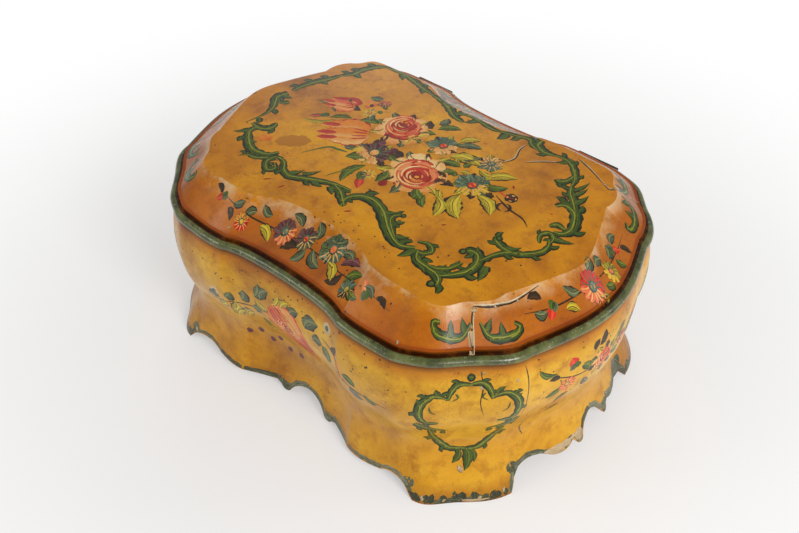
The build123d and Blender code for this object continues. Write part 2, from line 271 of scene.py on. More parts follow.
def aged_lacquer(name, clouds, height_tint_with_painted_shade, height_range, rim_height):
    """Ochre lacquer: clouds of colour, a tint by height that holds painted shade, then stains, specks, pits,
    a net of cracks and a pale painted highlight high on the lid's slopes.
    """
    material, tree, output = new_material(name)
    coords = add_node(tree, "TexCoord")
    place = coords.outputs["Object"]
    inside, height = looks_in(tree, coords, rim_height)

    broad = add_node(tree, "TexNoise",
                     {"Vector": place, "Scale": 1000 / 55, "Detail": 5.0, "Roughness": 0.6,
                      "Distortion": 0.4})
    colour = add_node(tree, "ValToRGB", {0: broad.outputs["Fac"]}, clouds)
    # Tint by height, multiplied into the clouds: the stops given at the two calls below hold painted shade.
    band = add_node(tree, "MapRange",
                    {"Value": height.outputs["Z"], "From Min": height_range[0] * MM,
                     "From Max": height_range[1] * MM})
    height_tint_and_shade = add_node(tree, "ValToRGB", {0: band.outputs["Result"]}, height_tint_with_painted_shade)
    tinted = add_node(tree, "Mix", {0: 1.0, 6: colour.outputs[0], 7: height_tint_and_shade.outputs[0]}, data_type="RGBA",
                      blend_type="MULTIPLY")

    stain = add_node(tree, "TexNoise",
                     {"Vector": place, "Scale": 1000 / 14, "Detail": 7.0, "Roughness": 0.72})
    stained = add_node(tree, "MapRange",
                       {"Value": stain.outputs["Fac"], "From Min": 0.5, "From Max": 0.72, "To Max": 0.7})
    brown = add_node(tree, "Mix", {0: stained.outputs["Result"], 6: tinted.outputs[2], 7: srgb("9a5208")},
                     data_type="RGBA")

    crowd = add_node(tree, "TexNoise", {"Vector": place, "Scale": 1000 / 45, "Detail": 3.0})
    crowded = add_node(tree, "MapRange", {"Value": crowd.outputs["Fac"], "From Min": 0.4, "From Max": 0.66})
    speck = add_node(tree, "TexNoise",
                     {"Vector": place, "Scale": 1000 / 2.6, "Detail": 3.0, "Roughness": 0.6})
    specks = add_node(tree, "MapRange", {"Value": speck.outputs["Fac"], "From Min": 0.66, "From Max": 0.72})
    speckled = add_node(tree, "Math", {0: specks.outputs["Result"], 1: crowded.outputs["Result"]},
                        operation="MULTIPLY")

    warp = add_node(tree, "TexNoise", {"Vector": place, "Scale": 1000 / 9, "Detail": 4.0})
    bent = add_node(tree, "VectorMath", {0: warp.outputs["Color"], 1: (0.005, 0.005, 0.005), 2: place},
                    operation="MULTIPLY_ADD")
    cells = add_node(tree, "TexVoronoi", {"Vector": bent.outputs[0], "Scale": 1000 / 4.5},
                     feature="DISTANCE_TO_EDGE")
    crack = add_node(tree, "MapRange",
                     {"Value": cells.outputs["Distance"], "From Min": 0.0, "From Max": 0.06,
                      "To Min": 1.0, "To Max": 0.0})
    craze = add_node(tree, "Math", {0: crack.outputs["Result"], 1: crowded.outputs["Result"]},
                     operation="MULTIPLY")
    dirt = add_node(tree, "Math", {0: craze.outputs[0], 1: 0.24}, operation="MULTIPLY")
    grime = add_node(tree, "Math", {0: dirt.outputs[0], 1: speckled.outputs[0]}, operation="MAXIMUM")
    aged = add_node(tree, "Mix", {0: grime.outputs[0], 6: brown.outputs[2], 7: srgb("54300c")},
                    data_type="RGBA")
    # Painted highlight: between 158 and 166 mm up, on the lid's sloping faces but not its flat top,
    # noise-broken patches of pale e2c8a0 stand in for the light that a rounded arris would catch. The case
    # never reaches that height.
    climb = add_node(tree, "MapRange",
                     {"Value": height.outputs["Z"], "From Min": 158 * MM, "From Max": 166 * MM,
                      "To Max": 0.6})
    lean = add_node(tree, "SeparateXYZ", {0: coords.outputs["Normal"]})
    flat = add_node(tree, "MapRange",
                    {"Value": lean.outputs["Z"], "From Min": 0.9, "From Max": 0.96, "To Min": 1.0,
                     "To Max": 0.0})
    highlight_breakup = add_node(tree, "MapRange", {"Value": swell_of(tree, place), "From Min": 0.42, "From Max": 0.62})
    slope = add_node(tree, "Math", {0: climb.outputs["Result"], 1: flat.outputs["Result"]},
                     operation="MULTIPLY")
    wear_and_painted_highlight = add_node(tree, "Math", {0: slope.outputs[0], 1: highlight_breakup.outputs["Result"]}, operation="MULTIPLY")
    highlighted = add_node(tree, "Mix", {0: wear_and_painted_highlight.outputs[0], 6: aged.outputs[2], 7: srgb("e2c8a0")},
                       data_type="RGBA")
    wood = bare_wood(tree, place)
    finish = add_node(tree, "Mix", {0: inside.outputs[0], 6: highlighted.outputs[2], 7: wood.outputs[0]},
                      data_type="RGBA")

    relief = add_node(tree, "Math", {0: crack.outputs["Result"], 1: -0.35, 2: swell_of(tree, place)},
                      operation="MULTIPLY_ADD")
    pitted = add_node(tree, "Math", {0: speckled.outputs[0], 1: -0.8, 2: relief.outputs[0]},
                      operation="MULTIPLY_ADD")
    bump = add_node(tree, "Bump", {"Height": pitted.outputs[0], "Distance": 0.0003, "Strength": 0.45})
    gloss = add_node(tree, "MapRange",
                     {"Value": stain.outputs["Fac"], "From Min": 0.3, "From Max": 0.8, "To Min": 0.27,
                      "To Max": 0.44})
    rough = add_node(tree, "Math", {0: inside.outputs[0], 1: gloss.outputs["Result"]}, operation="MAXIMUM")
    return coated(tree, output, material,
                  {"Base Color": finish.outputs[2], "Roughness": rough.outputs[0],
                   "Normal": bump.outputs[0], "Specular IOR Level": 0.22, "Coat Weight": 0.2,
                   "Coat Roughness": 0.13})


# On the lid the tint by height is painted shade, near black on the ledge just above the bead from 143.3 to
# 144 mm, and then darker towards the bottom of the slopes than on the flat top.
lid_lacquer = aged_lacquer("amber_varnished_ochre_on_the_lid",
                           [(0.28, "9c5c04"), (0.42, "ca8202"), (0.56, "de9602"), (0.75, "ecae04")],
                           [(0.0, "3a2820"), (0.035, "4a3830"), (0.10, "8a6658"), (0.145, "c89078"),
                            (0.16, "d8a888"), (0.2, "e0b890"), (0.6, "e0bc94"), (0.85, "f0dcc0"),
                            (1.0, "ffffff")], (143.3, 168.5), 143.0)
# On the case the tint is darker towards the floor over the lowest 16 mm, and over the top 14 mm, most in the
# last 5, it is a painted shadow under the lid's bead.
case_lacquer = aged_lacquer("amber_varnished_ochre_on_the_case",
                            [(0.28, "a4680a"), (0.42, "cc9214"), (0.56, "e0a81e"), (0.75, "f0c038")],
                            [(0.0, "b8986a"), (0.12, "f8ecd4"), (0.33, "f4e6cc"), (0.42, "ffffff"),
                             (0.9, "ffffff"), (0.965, "e8c8b0"), (1.0, "6a4c38")], (0.0, 136.2), 136.6)
print("lacquer: cracks 4.5 mm apart, specks 2.6 mm, clouds 55 mm")

# %% [markdown]
# The half-round bead round the lid is painted green, nearly black where hands never reached it, and
# rubbed back to a grey, waxy shine along its crown. The glue blocks and the bottom board are raw
# softwood. The hinges are wrought iron, browned by rust. None of these is a plain colour, so each
# gets its own scale of variation.

# %% Bead, softwood and iron
def green_bead_paint():
    material, tree, output = new_material("rubbed_green_bead_paint")
    place = add_node(tree, "TexCoord").outputs["Object"]
    patch = add_node(tree, "TexNoise",
                     {"Vector": place, "Scale": 1000 / 14, "Detail": 5.0, "Roughness": 0.65})
    green = add_node(tree, "ValToRGB", {0: patch.outputs["Fac"]},
                     [(0.3, "2e3318"), (0.45, "4c5224"), (0.58, "646a34"), (0.72, "7e8258")])
    speck = add_node(tree, "TexNoise", {"Vector": place, "Scale": 1000 / 1.8, "Detail": 2.0})
    dark = add_node(tree, "MapRange",
                    {"Value": speck.outputs["Fac"], "From Min": 0.66, "From Max": 0.7, "To Max": 0.8})
    worn = add_node(tree, "MapRange",
                    {"Value": speck.outputs["Fac"], "From Min": 0.34, "From Max": 0.28, "To Max": 0.7})
    dotted = add_node(tree, "Mix", {0: dark.outputs["Result"], 6: green.outputs[0], 7: srgb("1c1a10")},
                      data_type="RGBA")
    chipped = add_node(tree, "Mix", {0: worn.outputs["Result"], 6: dotted.outputs[2], 7: srgb("b9b49a")},
                       data_type="RGBA")
    bump = add_node(tree, "Bump", {"Height": speck.outputs["Fac"], "Distance": 0.0004, "Strength": 0.5})
    return coated(tree, output, material,
                  {"Base Color": chipped.outputs[2], "Roughness": 0.3, "Normal": bump.outputs[0],
                   "Coat Weight": 0.4, "Coat Roughness": 0.16})


def raw_softwood():
    material, tree, output = new_material("raw_softwood")
    wood = bare_wood(tree, add_node(tree, "TexCoord").outputs["Object"])
    bump = add_node(tree, "Bump", {"Height": wood.outputs[0], "Distance": 0.0003, "Strength": 0.6})
    return coated(tree, output, material,
                  {"Base Color": wood.outputs[0], "Roughness": 0.82, "Normal": bump.outputs[0]})


def wrought_iron():
    material, tree, output = new_material("browned_wrought_iron")
    place = add_node(tree, "TexCoord").outputs["Object"]
    rust = add_node(tree, "TexNoise", {"Vector": place, "Scale": 1000 / 3, "Detail": 5.0, "Roughness": 0.7})
    tone = add_node(tree, "ValToRGB", {0: rust.outputs["Fac"]},
                    [(0.35, "4a4642"), (0.52, "5a4a3e"), (0.68, "6a4026")])
    rough = add_node(tree, "MapRange", {"Value": rust.outputs["Fac"], "To Min": 0.35, "To Max": 0.85})
    bump = add_node(tree, "Bump", {"Height": rust.outputs["Fac"], "Distance": 0.0003, "Strength": 0.6})
    return coated(tree, output, material,
                  {"Base Color": tone.outputs[0], "Metallic": 0.85, "Roughness": rough.outputs["Result"],
                   "Normal": bump.outputs[0]})


bead_paint = green_bead_paint()
softwood = raw_softwood()
iron = wrought_iron()

for name, node in nodes.items():
    if name.endswith("_bead"):
        finish = bead_paint
    elif name.endswith(("_wall", "_base_skirt")):
        finish = case_lacquer
    elif name.endswith("_lid_border") or name == "lid_top_panel":
        finish = lid_lacquer
    elif "hinge" in name:
        finish = iron
    else:
        finish = softwood
    node.data.materials.clear()
    node.data.materials.append(finish)
print("finishes:", len(nodes), "frame pieces dressed")

# %% [markdown]
# The decorator's brush comes next. Every leaf, petal and scroll on the box is one press and lift of a
# loaded brush, so here a stroke is one small strip: a grid bent along a given path, as wide at
# each point as the brush was pressed there, and let down on to the board beneath it. A search tree of
# the boards' faces finds where each point lands. The strip is then extruded out of the board, so the
# paint stands a few hundredths of a millimetre proud, and each later stroke a little higher, as coats
# of oil colour do. A texture has no such edges.

# %% Where the paint lands
def faces_of(names):
    """One search tree over the faces of several boards."""
    points, faces = [], []
    for name in names:
        mesh = nodes[name].data
        start = len(points)
        points += [vertex.co.copy() for vertex in mesh.vertices]
        faces += [[start + i for i in polygon.vertices] for polygon in mesh.polygons]
    return BVHTree.FromPolygons(points, faces)


sides = ("front", "right", "back", "left")
lid_skin = faces_of([side + "_lid_border" for side in sides] + ["lid_top_panel"])
case_skin = faces_of([side + part for side in sides for part in ("_wall", "_base_skirt")])


class Ground:
    """A drawing board held up against the box: marks at (across, up), in millimetres, land on its skin."""

    def __init__(self, skin, centre, back, up, depth):
        self.skin, self.centre, self.depth = skin, Vector(centre), depth
        self.back, self.up = Vector(back).normalized(), Vector(up)
        self.right = self.up.cross(self.back)

    def land(self, spot):
        """Where the mark lands, and the way out of the skin there, in metres."""
        start = self.centre + self.right * spot.x + self.up * spot.y + self.back * self.depth
        hit = self.skin.ray_cast(start * MM, -self.back, (self.depth + 38) * MM)
        if hit[0] is None:
            hit = self.skin.find_nearest((start - self.back * (self.depth + 2)) * MM)
            return hit[0], self.back
        return hit[0], hit[1]


Z = (0, 0, 1)
corner_x, corner_y = 145.5, 100.0
lid_ground = Ground(lid_skin, (0, 0, 169), Z, (0, 1, 0), 40)
front_ground = Ground(case_skin, (0, -130, 0), (0, -1, 0), Z, 60)
back_ground = Ground(case_skin, (0, 130, 0), (0, 1, 0), Z, 60)
right_ground = Ground(case_skin, (186, 0, 0), (1, 0, 0), Z, 60)
left_ground = Ground(case_skin, (-186, 0, 0), (-1, 0, 0), Z, 60)
corner_grounds = [Ground(case_skin, (sx * corner_x, sy * corner_y, 0), (sx * 0.72, sy * 0.69, 0), Z, 60)
                  for sx, sy in ((1, -1), (1, 1), (-1, 1), (-1, -1))]
print("grounds:", len(corner_grounds) + 5, "drawing boards round the box")


# %% One stroke of the brush
LEAF = (0.0, 0.62, 0.95, 1.0, 0.82, 0.45, 0.0)
PETAL = (0.4, 0.85, 1.0, 1.0, 0.9, 0.5)
SCROLL = (0.3, 0.7, 0.95, 1.0, 0.9, 0.7, 0.4)
TAIL = (0.75, 1.0, 0.9, 0.6, 0.3, 0.0)
LINE = (0.3, 1.0, 0.9, 0.7, 0.2)
BAND = (0.9, 1.0, 1.0, 1.0, 0.9)
DAB = (0.0, 0.75, 0.97, 0.97, 0.75, 0.0)
sunk = 0.15                  # how deep a stroke's foot sits in the board, mm


def along(values, share):
    """A smooth value between given ones, at a share of the way along them."""
    place = share * (len(values) - 1)
    i = min(int(place), len(values) - 2)
    t = place - i
    before, start = values[max(i - 1, 0)], values[i]
    end, after = values[i + 1], values[min(i + 2, len(values) - 1)]
    slope_in, slope_out = (end - before) * 0.5, (after - start) * 0.5
    square = (end - start) * 3 - slope_in * 2 - slope_out
    cube = (start - end) * 2 + slope_in + slope_out
    return start + slope_in * t + square * t * t + cube * t * t * t


class Painting:
    """Strokes that dry as one piece."""

    def __init__(self):
        self.bm = bmesh.new()
        self.brush = self.bm.verts.layers.float_vector.new("brush")
        self.bristle = self.bm.verts.layers.float_vector.new("bristle")
        self.rise = self.bm.verts.layers.float_vector.new("rise")
        self.count = 0

    def stroke(self, ground, path, width, press, paint, tone=0.0, beside=0.0, over=0.0):
        """One stroke. tone darkens or lightens it, beside shifts it across, over lays it on top of others."""
        points = [Vector(point) for point in path]
        length = sum((b - a).length for a, b in zip(points, points[1:]))
        steps = max(5, min(26, int(length / 1.6)))
        across = 4 if width > 2.4 else 2
        grid = bmesh.ops.create_grid(self.bm, x_segments=steps, y_segments=across, size=1.0)
        seed = chance.uniform(0, 90)
        for vert in grid["verts"]:
            u, v = (vert.co.x + 1) / 2, vert.co.y
            here = along(points, u)
            ahead = along(points, min(u + 0.02, 1.0)) - along(points, max(u - 0.02, 0.0))
            side = Vector((-ahead.y, ahead.x)).normalized()
            run = u * length
            waver = 1 + 0.09 * math.sin(run * 0.8 + seed) + 0.06 * math.sin(run * 2.1 + seed * 3)
            half = max(along(press, u), 0.02) * waver * width / 2
            spot = here + side * (v * half + beside * width)
            ground_point, out = ground.land(spot)
            body = 0.03 + 0.02 * over
            vert.co = ground_point - out * sunk * MM
            vert[self.rise] = out * (sunk + body) * MM
            vert[self.brush] = (u, v, tone)
            vert[self.bristle] = (u * length + seed, v * half + seed, seed)
        for face in {face for vert in grid["verts"] for face in vert.link_faces}:
            face.material_index = paint
            face.smooth = True
        self.count += 1

    def dry(self, name, body):
        """The finished strokes, extruded up out of the board, as one closed piece on its body."""
        grown = bmesh.ops.extrude_face_region(self.bm, geom=self.bm.faces[:])
        for item in grown["geom"]:
            if isinstance(item, bmesh.types.BMVert):
                item.co += item[self.rise]
        bmesh.ops.recalc_face_normals(self.bm, faces=self.bm.faces[:])
        for edge in self.bm.edges:
            edge.smooth = edge.calc_face_angle(0.0) < 0.7
        mesh = bpy.data.meshes.new(name)
        self.bm.to_mesh(mesh)
        self.bm.free()
        piece = bpy.data.objects.new(name, mesh)
        scene.collection.objects.link(piece)
        for finish in palette:
            mesh.materials.append(finish)
        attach(piece, body)
        print(name + ":", self.count, "strokes,", len(mesh.polygons), "faces")


# %% [markdown]
# Oil colours on a box like this were ground by hand: green earth and verdigris for leaves, madder and
# vermilion for roses, lead white to lighten, bone black to outline. A bristle brush leaves furrows
# half a millimetre apart along the stroke, lets the colour run dark at one edge and thin at its end.
# Each colour is therefore a ramp from its dark to its light, read across the stroke, broken by a
# noise drawn out along it. The strokes carry those two directions with them as attributes, so the
# furrows follow every curl.

# %% Palette
def brushed_oil_colour(name, dark, middle, light, spread=0.5):
    """A colour laid by a bristle brush: darker to one edge, furrowed along the stroke, worn to the ochre."""
    material, tree, output = new_material(name)
    brush = add_node(tree, "Attribute", attribute_name="brush")
    bristle = add_node(tree, "Attribute", attribute_name="bristle")
    place = add_node(tree, "TexCoord").outputs["Object"]
    part = add_node(tree, "SeparateXYZ", {0: brush.outputs["Vector"]})
    drawn = add_node(tree, "VectorMath", {0: bristle.outputs["Vector"], 1: (0.22, 1.9, 1.0)},
                     operation="MULTIPLY")
    furrow = add_node(tree, "TexNoise",
                      {"Vector": drawn.outputs[0], "Scale": 1.0, "Detail": 3.0, "Roughness": 0.6})
    lean = add_node(tree, "Math", {0: part.outputs["Y"], 1: 0.1, 2: 0.46}, operation="MULTIPLY_ADD")
    toned = add_node(tree, "Math", {0: lean.outputs[0], 1: part.outputs["Z"]}, operation="ADD")
    centred = add_node(tree, "Math", {0: furrow.outputs["Fac"], 1: 0.5}, operation="SUBTRACT")
    broken = add_node(tree, "Math", {0: centred.outputs[0], 1: spread * 2.2, 2: toned.outputs[0]},
                      operation="MULTIPLY_ADD")
    colour = add_node(tree, "ValToRGB", {0: broken.outputs[0]},
                      [(0.1, dark), (0.45, middle), (0.85, light)])
    wear = add_node(tree, "TexNoise",
                    {"Vector": place, "Scale": 1000 / 3, "Detail": 4.0, "Roughness": 0.65})
    wear_and_painted_highlight = add_node(tree, "MapRange",
                      {"Value": wear.outputs["Fac"], "From Min": 0.63, "From Max": 0.7, "To Max": 0.55})
    worn = add_node(tree, "Mix", {0: wear_and_painted_highlight.outputs["Result"], 6: colour.outputs[0], 7: srgb("c08020")},
                    data_type="RGBA")
    bump = add_node(tree, "Bump", {"Height": furrow.outputs["Fac"], "Distance": 0.0001, "Strength": 0.3})
    return coated(tree, output, material,
                  {"Base Color": worn.outputs[2], "Roughness": 0.34, "Normal": bump.outputs[0],
                   "Specular IOR Level": 0.22, "Coat Weight": 0.2, "Coat Roughness": 0.13})


colours = [
    ("scroll_shadow_green", "141c0a", "202a0e", "323e16", 0.3),
    ("scroll_green", "24340e", "3e5216", "667424", 0.4),
    ("scroll_light_ochre_green", "5a661a", "868c28", "aaa636", 0.4),
    ("leaf_outline_umber", "20140a", "342410", "503414", 0.3),
    ("leaf_green_earth", "24340e", "466018", "7c8a28", 0.5),
    ("leaf_yellow_ochre_green", "5a5010", "b0981c", "e0c434", 0.6),
    ("leaf_grey_blue", "2c3626", "4c5a3c", "848a5a", 0.5),
    ("rose_madder_red", "7c140c", "bc2c18", "e05c30", 0.45),
    ("rose_coral_pink", "c03020", "e06a3c", "f4a060", 0.5),
    ("petal_lead_cream", "d47a30", "eca858", "f8dc98", 0.5),
    ("tulip_orange", "c24a08", "e68618", "f4b43c", 0.45),
    ("vermilion", "a01808", "d02a14", "e85030", 0.35),
    ("daisy_slate_green", "2a3c32", "54705a", "a0ae80", 0.5),
    ("purple_lake", "3c1a20", "6a3038", "98605a", 0.4),
    ("petal_bright_yellow", "b08010", "dab020", "f0d050", 0.45),
    ("bare_gesso", "a08058", "ccb48c", "e8dcc0", 0.5),
    ("crack_and_dirt", "241408", "3a2410", "54361a", 0.3),
    ("apron_grey_green", "343822", "6c6e52", "a4a488", 0.7),
    ("old_varnish_stain", "a86808", "b87408", "c4800c", 0.3),
]
paints = {name: index for index, (name, *_) in enumerate(colours)}
palette = [brushed_oil_colour(*colour) for colour in colours]
DARK, GREEN, LIGHT = paints["scroll_shadow_green"], paints["scroll_green"], paints["scroll_light_ochre_green"]
UMBER, LEAF_GREEN = paints["leaf_outline_umber"], paints["leaf_green_earth"]
LEAF_YELLOW, LEAF_BLUE = paints["leaf_yellow_ochre_green"], paints["leaf_grey_blue"]
RED, CORAL, CREAM = paints["rose_madder_red"], paints["rose_coral_pink"], paints["petal_lead_cream"]
ORANGE, VERMILION, SLATE = paints["tulip_orange"], paints["vermilion"], paints["daisy_slate_green"]
PURPLE, YELLOW, GESSO = paints["purple_lake"], paints["petal_bright_yellow"], paints["bare_gesso"]
CRACK, APRON, STAIN = paints["crack_and_dirt"], paints["apron_grey_green"], paints["old_varnish_stain"]
print("palette:", len(palette), "oil colours")


# %% Motifs a decorator knows by heart
def turned(spot, angle, reach):
    return (spot[0] + reach * math.cos(angle), spot[1] + reach * math.sin(angle))


def scroll(painting, ground, path, width, press=SCROLL, over=0.0, lobed=True):
    """An acanthus scroll: dark body, green over it, and one lit stroke along its upper edge."""
    points = [Vector(point) for point in path]
    length = sum((b - a).length for a, b in zip(points, points[1:]))
    middle = along(points, 0.5)
    chord = points[0].lerp(points[-1], 0.5)
    for share in ((0.3, 0.6, 0.85) if length > 26 else (0.35, 0.75)) if lobed and length > 13 else ():
        here = along(points, share)
        forward = (along(points, share + 0.03) - along(points, share - 0.03)).normalized()
        side = Vector((-forward.y, forward.x))
        if side.dot(middle - chord) < 0:
            side.negate()
        lobe = [here, here + side * width * 0.55, here + side * width * 0.85 + forward * width * 0.55]
        painting.stroke(ground, lobe, width * 0.7, LEAF, DARK, over=over)
        painting.stroke(ground, lobe, width * 0.36, LEAF, GREEN, over=over + 1)
    painting.stroke(ground, path, width, press, DARK, over=over + 0.5)
    painting.stroke(ground, path, width * 0.68, press, GREEN, beside=0.05, over=over + 1.5)
    painting.stroke(ground, path, width * 0.26, press, LIGHT, beside=0.15, over=over + 2.5)
    painting.stroke(ground, path, width * 0.12, press, DARK, beside=-0.08, over=over + 2.5)


def leaf(painting, ground, base, tip, width, paint=LEAF_GREEN, bend=0.15, tone=0.0, over=0.0):
    """A leaf: umber outline, body, a lighter half and a vein."""
    a, b = Vector(base), Vector(tip)
    side = Vector((a.y - b.y, b.x - a.x)) * bend
    path = [a, a.lerp(b, 0.35) + side, a.lerp(b, 0.7) + side * 0.8, b]
    painting.stroke(ground, path, width, LEAF, UMBER, tone=tone, over=over)
    painting.stroke(ground, path, width * 0.78, LEAF, paint, tone=tone, over=over + 1, beside=0.04)
    if width > 4:
        painting.stroke(ground, path, width * 0.3, LEAF, paint, tone=tone + 0.3, over=over + 2, beside=0.17)
        painting.stroke(ground, path, 0.55, LINE, UMBER, over=over + 3)


def spray(painting, ground, rows, share=1.0, bend=0.18):
    """Leaves from rows of (base, tip, width, paint), each bent to one side or the other."""
    for base, tip, width, paint in rows:
        leaf(painting, ground, base, tip, width * share, paint, bend=chance.choice((-bend, bend)))


def ring(painting, ground, centre, reach, count, span, width, paint, start=0.0, tone=0.0, over=0.0,
         squash=1.0):
    """Curved petals side by side round a centre; those on the far side from the light are darker."""
    for i in range(count):
        middle = start + i * math.tau / count + chance.uniform(-0.12, 0.12)
        out = reach * chance.uniform(0.93, 1.07)
        path = []
        for step in (-0.5, -0.25, 0.0, 0.25, 0.5):
            angle = middle + step * span
            path.append((centre[0] + out * math.cos(angle), centre[1] + out * squash * math.sin(angle)))
        shade = 0.14 * math.cos(middle - 2.4) + chance.uniform(-0.08, 0.08)
        painting.stroke(ground, path, width, DAB, paint, tone=tone + shade, over=over)


def disc(painting, ground, centre, radius, paint, tone=0.0, over=0.0):
    path = [(centre[0] - radius, centre[1]), (centre[0], centre[1]), (centre[0] + radius, centre[1])]
    painting.stroke(ground, path, radius * 2.1, DAB, paint, tone=tone, over=over)


def rose(painting, ground, centre, radius, core, cool=0.0):
    """A full-blown rose: a red ground, cream outer petals, then rings of coral, red and thin lights."""
    lean = Vector(core) - Vector(centre)
    inner = Vector(centre) + lean * 0.6
    disc(painting, ground, centre, radius * 0.86, RED, tone=-0.05)
    ring(painting, ground, centre, radius * 0.82, 7, 0.95, radius * 0.46, CREAM, 0.4, cool, 1)
    ring(painting, ground, centre, radius * 0.66, 8, 0.9, radius * 0.14, RED, 0.1, 0.0, 2)
    ring(painting, ground, Vector(centre).lerp(inner, 0.5), radius * 0.57, 6, 1.15, radius * 0.3, CORAL,
         0.9, cool, 3)
    ring(painting, ground, inner, radius * 0.36, 5, 1.35, radius * 0.34, RED, 0.3, 0.0, 4)
    disc(painting, ground, inner, radius * 0.27, RED, tone=-0.25, over=5)
    for share, start in ((0.74, 3.4), (0.6, 4.5), (0.5, 2.9), (0.4, 5.1), (0.3, 3.2), (0.2, 4.6)):
        middle = Vector(centre).lerp(inner, 1.2 - share)
        ring(painting, ground, middle, radius * share, 1, 2.2, radius * 0.075, CREAM, start, cool + 0.1, 6)
        ring(painting, ground, middle, radius * share, 1, 1.1, radius * 0.06, CORAL, start + 2.4,
             cool + 0.2, 6)
    for share, start in ((0.68, 5.2), (0.45, 5.6), (0.34, 2.2)):
        ring(painting, ground, inner, radius * share, 2, 1.5, radius * 0.05, VERMILION, start, 0.0, 6)
    ring(painting, ground, core, radius * 0.12, 3, 1.6, radius * 0.12, ORANGE, 4.2, 0.0, 7)


def daisy(painting, ground, centre, radius, near, far, heart=VERMILION, count=13, towards=-0.86):
    """A rayed flower: its far petals in one colour, its near ones in another, and a bright heart."""
    for i in range(count):
        angle = i * math.tau / count + chance.uniform(-0.08, 0.08)
        reach = radius * chance.uniform(0.88, 1.05)
        paint = near if math.cos(angle - towards) > 0.1 else far
        path = [turned(centre, angle, radius * 0.2), turned(centre, angle + 0.08, reach * 0.6),
                turned(centre, angle, reach)]
        painting.stroke(ground, path, radius * 0.5, PETAL, UMBER, over=0)
        painting.stroke(ground, path, radius * 0.4, PETAL, paint, tone=chance.uniform(-0.12, 0.12), over=1)
        painting.stroke(ground, path, radius * 0.09, LINE, CREAM if paint == near else LEAF_BLUE, over=2)
    disc(painting, ground, centre, radius * 0.34, SLATE, tone=-0.2, over=3)
    disc(painting, ground, centre, radius * 0.24, heart, over=4)
    ring(painting, ground, centre, radius * 0.15, 2, 1.6, radius * 0.08, ORANGE, 1.2, 0.1, 5)


def chip(painting, ground, centre, size):
    """A knock in the paint: a ragged patch of bare gesso with a dark rim."""
    way = chance.uniform(0.0, 3.0)
    for paint, share, over in ((CRACK, 1.0, 0), (GESSO, 0.75, 1)):
        for angle, reach in ((0.0, 0.8), (0.9, 0.55)):
            far = size * reach
            path = [turned(centre, way + angle, far), centre, turned(centre, way + angle + 3.4, far)]
            painting.stroke(ground, path, size * share, DAB, paint, tone=chance.uniform(-0.3, 0.0),
                            over=over)


def bud(painting, ground, base, tip, width, paint, second=None):
    """A closed bud in its green cup."""
    a, b = Vector(base), Vector(tip)
    painting.stroke(ground, [a, a.lerp(b, 0.5), b], width, LEAF, paint)
    painting.stroke(ground, [a, a.lerp(b, 0.5), b], width * 0.35, LEAF, paint if second is None else second,
                    tone=0.3, beside=0.2, over=1)
    cup = a.lerp(b, 0.38)
    back = a - (b - a) * 0.3
    painting.stroke(ground, [back, a, cup], width * 0.8, LEAF, LEAF_GREEN, beside=-0.25, over=2)
    painting.stroke(ground, [back, a, cup], width * 0.8, LEAF, LEAF_BLUE, beside=0.25, over=2)


def stem(painting, ground, path, width=1.1, paint=UMBER):
    painting.stroke(ground, path, width, LINE, paint)


print("motifs: scroll, leaf, rose, daisy, bud, stem")

# %% [markdown]
# Round the flat of the lid runs a garland of green acanthus scrolls: C shapes and S shapes linked by
# knots, with small leaves where they meet. It is drawn here as the decorator worked, one scroll after
# another, clockwise from the far left, each from where the brush was set down to where it was lifted.
# The brush was about 6 mm wide.

